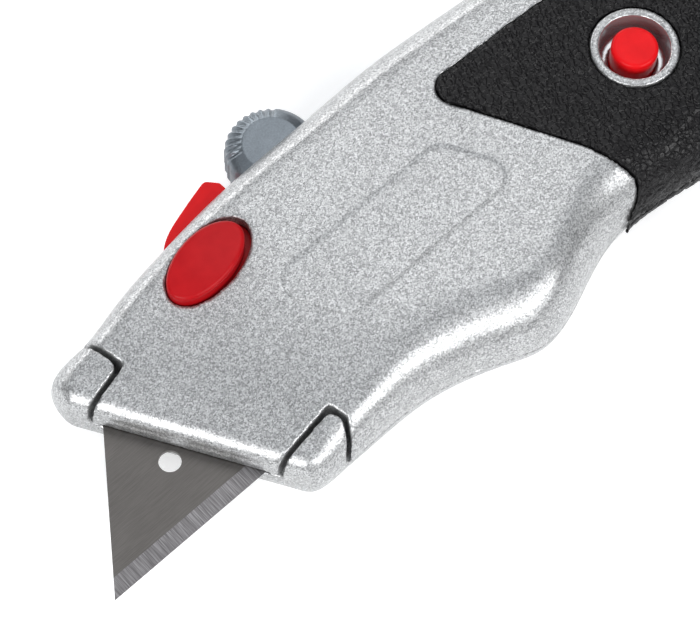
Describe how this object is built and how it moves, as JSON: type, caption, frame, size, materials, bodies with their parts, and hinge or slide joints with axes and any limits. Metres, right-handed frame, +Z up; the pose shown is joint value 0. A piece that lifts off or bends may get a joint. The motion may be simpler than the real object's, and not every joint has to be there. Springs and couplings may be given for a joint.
{
  "type": "utility knife",
  "caption": "Retractable utility knife with a trapezoid blade, metal body, rubber grips, thumb slider, red push buttons and a cover that opens on a hinge.",
  "frame": {"origin": "under the middle of the box of all pieces, on the plane that the knife lies on", "axes": "+X from the blade's tip to the tail, +Y towards the spine with the slider, +Z up out of the cover"},
  "size_m": [0.1763, 0.0589, 0.0185],
  "materials": {
    "silver_paint": "metallic sparkle lacquer over a zinc casting",
    "grip_rubber": "black soft rubber with a leather grain",
    "red_plastic": "glossy red moulding",
    "blade_steel": "fine ground steel with a bright bevel",
    "zinc": "zinc plated casting with a slight blue tint",
    "steel": "turned steel",
    "spring_steel": "spring steel",
    "magnet": "nickel plated magnet",
    "carrier_plastic": "dark grey nylon"
  },
  "bodies": {
    "housing": {"right_shell": "silver_paint", "right_grip": "grip_rubber", "hinge_pin": "steel", "lever_pin": "steel", "lever_spring": "spring_steel", "latch_stud": "steel", "blade_magazine": "carrier_plastic", "spare_blades": "blade_steel", "magazine_spring": "spring_steel"},
    "cover": {"left_shell": "silver_paint", "left_grip": "grip_rubber", "release_button_spring": "spring_steel", "release_button_retainer": "steel", "case_button_spring": "spring_steel", "latch_clip": "spring_steel", "clip_screws": "steel"},
    "carrier": {"blade": "blade_steel", "blade_carrier": "carrier_plastic", "blade_magnet": "magnet", "slider_spring": "spring_steel"},
    "slider": {"thumb_slider": "zinc"},
    "lever": {"release_lever": "red_plastic"},
    "oval_button": {"release_button": "red_plastic"},
    "round_button": {"case_button": "red_plastic"}
  },
  "joints": [
    {"name": "cover_hinge", "type": "hinge", "parent": "housing", "child": "cover", "pos_m": [0.06185, -0.00864, 0.0129], "axis": [0, 1, 0], "range_deg": [0, 60]},
    {"name": "blade_slide", "type": "slide", "parent": "housing", "child": "carrier", "axis": [1, 0, 0], "range_m": [0, 0.03]},
    {"name": "slider_press", "type": "slide", "parent": "carrier", "child": "slider", "axis": [0, -1, 0], "range_m": [0, 0.0012], "stiffness_N_per_m": 1500, "deforming": ["slider_spring"]},
    {"name": "lever_rock", "type": "hinge", "parent": "housing", "child": "lever", "pos_m": [-0.04955, 0.01846, 0.0089], "axis": [0, 0, -1], "range_deg": [0, 10], "stiffness_Nm_per_rad": 0.3, "deforming": ["lever_spring"]},
    {"name": "oval_button_press", "type": "slide", "parent": "cover", "child": "oval_button", "axis": [0, 0, -1], "range_m": [0, 0.001], "stiffness_N_per_m": 1200, "deforming": ["release_button_spring"]},
    {"name": "round_button_press", "type": "slide", "parent": "cover", "child": "round_button", "axis": [0, 0, -1], "range_m": [0, 0.0012], "stiffness_N_per_m": 1200, "deforming": ["case_button_spring"]}
  ]
}
